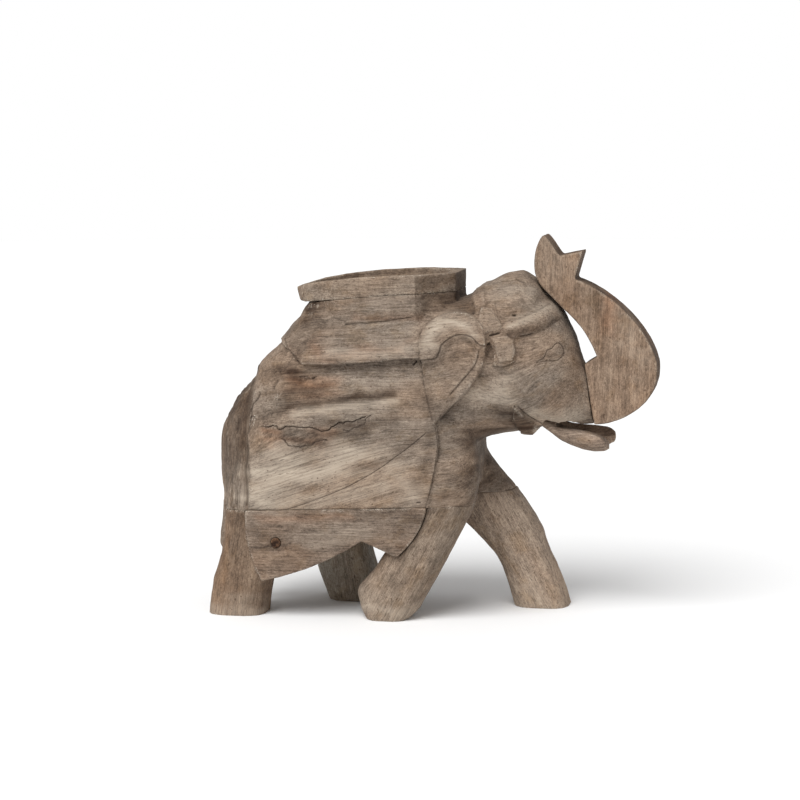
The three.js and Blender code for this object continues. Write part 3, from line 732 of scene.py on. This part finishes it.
def carve_rump(block):
    """Rough wood behind the blanket's rear edge."""
    x, _, z = block.points.T
    behind = fade(x + 3 * waves(block.points, 12, 31), -172, -178) * fade(z, 100, 112)
    furrow(block, behind * fade(-block.normals()[:, 0], -0.4, 0.2), 32)
    block.dark += behind * (0.65 * fade(z, 118, 160) + 0.3 * fade(z, 190, 225))


def crumble(block):
    """Rotten, broken wood with white specks under the rear end of the rim."""
    x, _, z = block.points.T
    where = np.exp(-(((x + 115) / 14) ** 2) - ((z - 311) / 8) ** 2)
    block.chip(where, 5, 2.4, 51)
    block.worn += 1.5 * where * fade(waves(block.points, 3, 52), 0.2, 0.9)
    block.dark += 0.9 * where


def carve_knots(block):
    """Pitted wood in the knots, and flakes along the rotten ridge behind them."""
    right = block.flank(-1)
    for x, z, half_length, half_height in [(-116, 182, 22, 8), (-66, 199, 14, 6), (-113, 237, 12, 6)]:
        offset = ((block.side - (x, z)) / (half_length, half_height)) ** 2
        where = right * np.exp(-(offset.sum(1) ** 2))
        block.push(-0.7 * where)
        block.chip(where, 4, 1.3, 53)
        block.dirt_and_shade += 0.55 * where * fade(waves(block.points, 4, 53), -0.2, 1.2)
    ridge = right * fade(distance(block.side, ROT_RIDGE)[0], 12, 4)
    block.chip(ridge, (5, 5, 9), 1.4, 55)
    x, y, z = block.points.T
    fibres = waves(np.stack([0.87 * x - 0.5 * z, y, 0.5 * x + 0.87 * z], 1), (2.6, 5, 16), 56)
    block.push(0.5 * ridge * fibres)
    block.worn += 0.9 * ridge * fade(fibres, 0.9, 1.6)
    block.dirt_and_shade += 0.6 * ridge * fade(-fibres, 0.7, 1.5)


def carve_jaw(block):
    """Makes the back corner of the jaw a block that stands proud of the throat, with painted shade on its
    lower facet.
    """
    raised = block.patch(loop([(84, 216), (82, 198), (88, 184), (102, 183), (110, 191), (98, 201)]), 1.6)
    for side in BOTH:
        block.push(2.2 * raised * block.flank(side))
    # painted shade on the jaw's facet that faces down and forwards
    block.dark += 0.7 * block.patch(loop([(97, 201), (110, 191), (102, 183), (96, 184)]), 1.0)


def shade_facets(block):
    """Painted shade on the facets that turn from the light: the cloth's rear one, and the neck's front one.
    """
    x, _, z = block.points.T
    rear = loop([(-152, 285), (-144, 275), (-124, 251), (-93, 292), (-108, 303)])
    block.dark += 0.35 * block.patch(rear, 5)
    front = loop([(-8, 326), (-5, 302), (28, 303), (46, 298), (52, 308), (34, 328)])
    block.dark += 0.5 * block.patch(front, 3)
    block.dark += 0.3 * fade(block.normals()[:, 0], 0.25, 0.4) * fade(z, 294, 298) * fade(x, 36, 33)


# Real stains, and painted shade and light: the ear's hollow and fold, the chest under the neck and the brow
# band's lower face.
BODY_STAINS_AND_SHADE = [
    ("pale", [(-172, 128), (-140, 138), (-100, 150), (-70, 160)], 15, 0.8, 0),
    ("pale", [(-172, 150), (-150, 158), (-128, 160)], 12, 0.4, -1),
    ("pale", [(-160, 112), (-100, 120), (-40, 135)], 8, 0.45, 0),
    ("pale", [(-60, 168), (-30, 160), (-10, 130)], 10, 0.35, 0),
    ("pale", [(-126, 204), (-95, 210), (-61, 213), (-27, 219)], 4.5, 0.6, -1),
    ("dark", [(-133, 212), (-95, 217), (-61, 222), (-29, 226)], 3.6, 0.9, -1),
    ("dark", [(-104, 194), (-92, 195), (-78, 197), (-51, 197), (-27, 201)], 5, 0.6, -1),
    ("dark", [(-135, 180), (-100, 183), (-60, 194)], 8, 0.7, -1),
    ("dark", [(-165, 200), (-145, 203), (-132, 232)], 9, 0.5, -1),
    ("dark", [(-150, 232), (-138, 246), (-128, 240)], 9, 0.25, -1),
    ("dark", [(-160, 236), (-140, 246), (-128, 248)], 7, 0.35, 0),
    ("dark", [(-6, 130), (4, 160), (6, 190)], 6, 0.5, 0),
    ("dark", [(-66, 150), (-30, 165), (-8, 182)], 5, 0.45, -1),
    ("warm", [(-132, 236), (-110, 233), (-85, 233)], 8, 0.75, -1),
    ("dark", [(-126, 234), (-110, 229), (-98, 232)], 8, 1.0, -1),
    ("pale", [(-30, 120), (-5, 130)], 12, 0.15, 0),
    ("dark", [(-105, 285), (-60, 284), (-30, 288)], 12, 0.15, 0),
    ("pale", [(-85, 311), (-45, 312), (-12, 313)], 6, 0.12, 0),
    ("warm", [(-85, 311), (-45, 312), (-12, 313)], 6, 0.15, 0),
    # painted shade in the ear's hollow, under its rolled rim
    ("dark", [(12, 248), (28, 258), (42, 246)], 12, 0.18, 0),
    ("warm", [(-150, 176), (-120, 180), (-95, 183)], 7, 0.7, -1),
    ("warm", [(-157, 187), (-143, 184)], 4, 0.7, -1),
    ("warm", [(-105, 268), (-94, 261), (-60, 264), (-20, 266)], 7, 0.6, 0),
    ("pale", [(-100, 262), (-60, 265), (-20, 268)], 6, 0.4, 0),
    ("warm", [(-70, 297), (-5, 300)], 4, 0.5, 0),
    ("dark", [(-132, 312), (-118, 303)], 9, 0.7, 0),
    # painted shade in the hollow of the chest, under the neck
    ("dark", [(45, 180), (60, 165), (50, 150)], 18, 0.78, 0),
    ("dark", [(70, 205), (90, 192)], 9, 0.8, 0),
    ("dark", [(20, 125), (40, 122), (60, 122)], 10, 0.4, 0),
    ("dark", [(0, 232), (14, 206), (26, 214)], 7, 0.5, 0),
    ("pale", [(50, 226), (66, 222), (80, 232)], 12, 0.6, 0),
    ("pale", [(70, 318), (90, 324), (104, 314)], 9, 0.25, 0),
    # painted light on the ear's rolled fold, which faces up
    ("pale", [(4, 276), (16, 290), (32, 294), (45, 290)], 7, 0.95, 0),
    ("pale", [(80, 294), (105, 302), (125, 311)], 3.5, 0.6, 0),
    # painted shade on the brow band's lower face
    ("dark", [(82, 284), (105, 287), (124, 297)], 3, 0.6, 0),
    ("dark", [(60, 262), (64, 272), (62, 280)], 4, 0.5, 0),
    ("dark", [(100, 305), (112, 316), (118, 326)], 7, 0.3, 0),
    ("pale", [(104, 205), (124, 200), (144, 201)], 8, 0.75, 0),
    ("dark", [(96, 236), (110, 230), (124, 228)], 12, 0.14, 0),
    ("dark", [(88, 200), (98, 190)], 6, 0.7, 0),
    ("dark", [(-112, 225), (-60, 232), (-20, 228)], 7, 0.8, 1),
    ("warm", [(-100, 170), (-60, 176)], 12, 0.6, 1),
    ("dark", [(-60, 176), (-40, 180)], 9, 0.7, 1),
]


def body():
    block = Block("body", 1.8)
    block.soften(14)
    grooves = body_grooves()
    for reach in (3.0, 1.3):
        block.refine(nearest_cut(block, grooves) < reach)
    block.relax(fade(nearest_cut(block, grooves), 6, 3), 2)
    block.relax(fade(distance(block.side, BAND_TOP)[0], 6, 2), 30)
    block.push(0.3 * waves(block.points, (30, 16, 14), 21) + 0.12 * waves(block.points, (9, 5, 5), 22))
    carve_ear(block)
    carve_band(block)
    raise_straps(block)
    carve_eye(block)
    carve_rump(block)
    crumble(block)
    carve_knots(block)
    carve_jaw(block)
    block.cut(grooves)
    shade_facets(block)
    block.stains_and_shade(BODY_STAINS_AND_SHADE, 40)
    finish_piece(block, wood("block_wood"), body_grain(block), 1)


# --------------------------------------------------------------- other pieces
PEG_AT = (-146, 76)
PEG_RADIUS = 5.0


def shade_edges(block, amount):
    """Paints shade on the narrow faces of a board, which do not face sideways."""
    block.dark += amount * fade(np.abs(block.normals()[:, 1]), 0.8, 0.3)


def carved(node, voxel, lean, slot, seed, stains_and_shade=(), grooves=(), detail=None, **looks):
    """Builds one glued piece: softened, slightly uneven, cut and stained."""
    block = Block(node, voxel)
    block.soften(8)
    block.push(0.12 * waves(block.points, (12, 7, 7), seed + 60))
    if detail:
        detail(block)
    block.cut(grooves)
    block.stains_and_shade(stains_and_shade, 100 * seed)
    finish_piece(block, wood(f"{node}_wood", **looks), straight_grain(block, lean), seed)


def under_body(block):
    """Closes the joint with the body's flat underside."""
    x, _, z = block.points.T
    block.meet(glue_height(x) - z, (0, 0, 1))


def rim_detail(block):
    """Chips the broken rear end, and paints shade on the faces that turn forwards and on the dish's floor.
    """
    x, _, z = block.points.T
    block.meet(z - np.interp(x, *np.transpose(RIM_SEAM)), (0, 0, -1))
    normals = block.normals()
    block.relax(fade(x, -124, -134), 16)
    block.chip(fade(x, -118, -130), 6, 2.0, 71)
    # painted shade on the faces that turn forwards, away from the light
    block.dark += 0.55 * fade(normals[:, 0], 0.25, 0.4)
    # painted shade on the dish's floor, inside the hollow, over wood that is also less bleached
    block.dark += 0.5 * fade(z - 329 - 0.06 * (x + 54), 1, -1) * fade(normals[:, 2], 0.6, 0.9)
    block.pale += 0.8 * fade(x, -118, -130) * fade(waves(block.points, 3, 72), 0.9, 1.5)


def trunk_detail(block):
    # painted shade on the trunk's narrow edges
    shade_edges(block, 0.7)


def lip_detail(block):
    """Rounds the spoon and darkens it where it faces up, in its hollow."""
    block.relax(np.ones(len(block.points)), 2)
    block.dark += 0.25 * fade(block.normals()[:, 2], 0.4, 0.9)


def hind_leg_detail(block):
    """Carries the rump's rough wood down the back of the leg."""
    under_body(block)
    x, _, z = block.points.T
    furrow(block, fade(x + 0.12 * z, -182, -188) * fade(z, 40, 80), 81)


def peg(node):
    block = Block(node, 0.5, wear=0.2)
    block.push(0.25 * waves(block.points, 2.5, 91))
    block.dark += 0.55 + 0.4 * waves(block.points, 3, 92)
    grain = block.points[:, [1, 0, 2]]
    finish_piece(block, wood(f"{node}_wood", tint=(0.6, 0.42, 0.3)), grain, 12)


def hem(node, side, x, seed):
    carved(
        node, 1.3, 1, "board_wood", seed,
        stains_and_shade=[
            ("warm", [(-165, 101), (-120, 102), (-70, 104)], 3.5, 0.45, side),
            ("dirt_and_shade", [(-171, 70), (-150, 72), (-131, 76)], 0.9, 0.8, side),
            ("dark", [(x - 8, 77), (x + 3, 77)], 6, 0.4, side),
            ("pale", [(-110, 76), (-90, 82), (-50, 88)], 7, 0.25, side),
            ("dark", [(-160, 58), (-130, 60), (-100, 68)], 8, 0.15, side),
            ("dark", [(-60, 108), (-15, 110), (-20, 90)], 9, 0.4, side),
        ],
        grooves=[Groove(ring(x, PEG_AT[1], PEG_RADIUS + 0.3), side, 0.2, 0.5, 0.35, 0)],
        detail=under_body, tint=(0.9, 0.86, 0.84),
    )


def legs():
    carved(
        "right_fore_leg", 1.4, 62, "leg_wood", 8,
        stains_and_shade=[
            ("dark", [(0, 112), (50, 118)], 14, 0.45, 0),
            ("pale", [(-70, 8), (-45, 16), (-10, 4)], 14, 0.55, 0),
        ],
        detail=under_body, tint=(1.04, 1.02, 0.99), streaks=0.75, patches=0.6,
    )
    carved(
        "left_fore_leg", 1.4, 118, "leg_wood", 9,
        stains_and_shade=[("pale", [(70, 6), (130, 6)], 24, 0.2, 0), ("dark", [(40, 122), (80, 122)], 9, 0.5, 0)],
        detail=under_body, tint=(1.46, 1.41, 1.36), streaks=0.75, patches=0.6,
    )
    carved(
        "right_hind_leg", 1.4, 82, "leg_wood", 10,
        stains_and_shade=[
            ("dark", [(-205, 98), (-150, 100)], 20, 0.3, 0),
            ("pale", [(-220, 4), (-165, 4)], 10, 0.4, 0),
        ],
        detail=hind_leg_detail, tint=(0.84, 0.73, 0.64), streaks=0.8, patches=0.6,
    )
    # the far hind leg's tint is brightened and cooled as painted bounce light
    carved(
        "left_hind_leg", 1.4, 100, "leg_wood", 11,
        detail=under_body, tint=(1.3, 1.48, 1.6), streaks=0.8,
    )


def pieces():
    body()
    carved("saddle_rim", 1.2, 3, "board_wood", 2, detail=rim_detail, tint=(1.05, 1.05, 1.04))
    carved(
        "trunk", 1.3, 88, "trunk_wood", 3,
        stains_and_shade=[
            ("warm", [(176, 290), (178, 330)], 8, 0.6, 0),
            ("pale", [(195, 290), (200, 260)], 14, 0.2, 0),
            ("pale", [(112, 372), (116, 350), (140, 345)], 12, 0.15, 0),
            ("dark", [(140, 330), (160, 312), (165, 295)], 10, 0.18, 0),
        ],
        detail=trunk_detail, tint=(1.08, 0.97, 0.88), streaks=0.7, patches=0.6,
    )
    carved("lower_lip", 0.9, 5, "block_wood", 4, detail=lip_detail, tint=(1.25, 1.2, 1.18))
    carved("tail_tip", 1.0, 90, "leg_wood", 5, detail=under_body)
    hem("right_hem_board", -1, PEG_AT[0], 6)
    hem("left_hem_board", 1, -120, 7)
    legs()
    peg("right_hem_peg")
    peg("left_hem_peg")


def hidden_pins():
    """Gives the dowels inside the joints their wood. They stay plain CAD pins."""
    material = pin_wood("dowel_wood", (1.5, 1.1, 0.8))
    for name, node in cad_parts.items():
        if "dowel" in name:
            node.data.materials.clear()
            node.data.materials.append(material)


# ---------------------------------------------------------------------- stage
VIEW_TURN = math.radians(10.7)
VIEW_LIFT = math.radians(7.0)
VIEW_DISTANCE = 2.65
VIEW_LENS = 119.25
AIM_OFFSET = Vector((-0.03625, 0, 0.0217))  # from the middle of the part to where the camera aims
SKY_LIGHT = 0.5
SKY_SEEN = 1.0


def direction(turn, lift):
    """Unit vector from the object towards a point at that turn and lift."""
    return Vector((math.sin(turn) * math.cos(lift), -math.cos(turn) * math.cos(lift), math.sin(lift)))


def camera():
    data = bpy.data.cameras.new("camera")
    data.lens = VIEW_LENS
    data.sensor_width = 36
    data.clip_end = 100
    made = bpy.data.objects.new("camera", data)
    back = direction(VIEW_TURN, VIEW_LIFT)
    made.location = (CAD_BOX[0] + CAD_BOX[1]) / 2 + AIM_OFFSET + back * VIEW_DISTANCE
    made.rotation_mode = "QUATERNION"
    made.rotation_quaternion = (-back).to_track_quat("-Z", "Y")
    bpy.context.scene.collection.objects.link(made)
    bpy.context.scene.camera = made


def soft_sun(name, turn, lift, spread, strength):
    data = bpy.data.lights.new(name, "SUN")
    data.angle = math.radians(spread)
    data.energy = strength
    made = bpy.data.objects.new(name, data)
    back = direction(math.radians(turn), math.radians(lift))
    made.location = back * 2
    made.rotation_mode = "QUATERNION"
    made.rotation_quaternion = (-back).to_track_quat("-Z", "Y")
    bpy.context.scene.collection.objects.link(made)


def sky():
    """White surroundings, brighter to the camera than to the wood."""
    world = bpy.data.worlds.new("studio")
    world.use_nodes = True
    nodes, links = world.node_tree.nodes, world.node_tree.links
    light = nodes["Background"]
    light.inputs["Color"].default_value = (1, 1, 1, 1)
    light.inputs["Strength"].default_value = SKY_LIGHT
    seen = nodes.new("ShaderNodeBackground")
    seen.inputs["Color"].default_value = (1, 1, 1, 1)
    seen.inputs["Strength"].default_value = SKY_SEEN
    rays = nodes.new("ShaderNodeLightPath")
    either = nodes.new("ShaderNodeMixShader")
    links.new(rays.outputs["Is Camera Ray"], either.inputs["Fac"])
    links.new(light.outputs["Background"], either.inputs[1])
    links.new(seen.outputs["Background"], either.inputs[2])
    links.new(either.outputs["Shader"], nodes["World Output"].inputs["Surface"])
    bpy.context.scene.world = world


def floor():
    bm = bmesh.new()
    bmesh.ops.create_circle(bm, cap_ends=True, segments=96, radius=6)
    mesh = bpy.data.meshes.new("floor")
    bm.to_mesh(mesh)
    bm.free()
    made = bpy.data.objects.new("floor", mesh)
    material = bpy.data.materials.new("floor")
    tree = Tree(material)
    tree.shader.inputs["Base Color"].default_value = (0.9, 0.9, 0.9, 1)
    tree.shader.inputs["Roughness"].default_value = 0.9
    mesh.materials.append(material)
    bpy.context.scene.collection.objects.link(made)


def stage():
    camera()
    sky()
    floor()
    soft_sun("key", -20, 50, 45, 3.0)
    bpy.context.scene.view_settings.view_transform = "Standard"


stage()
pieces()
hidden_pins()
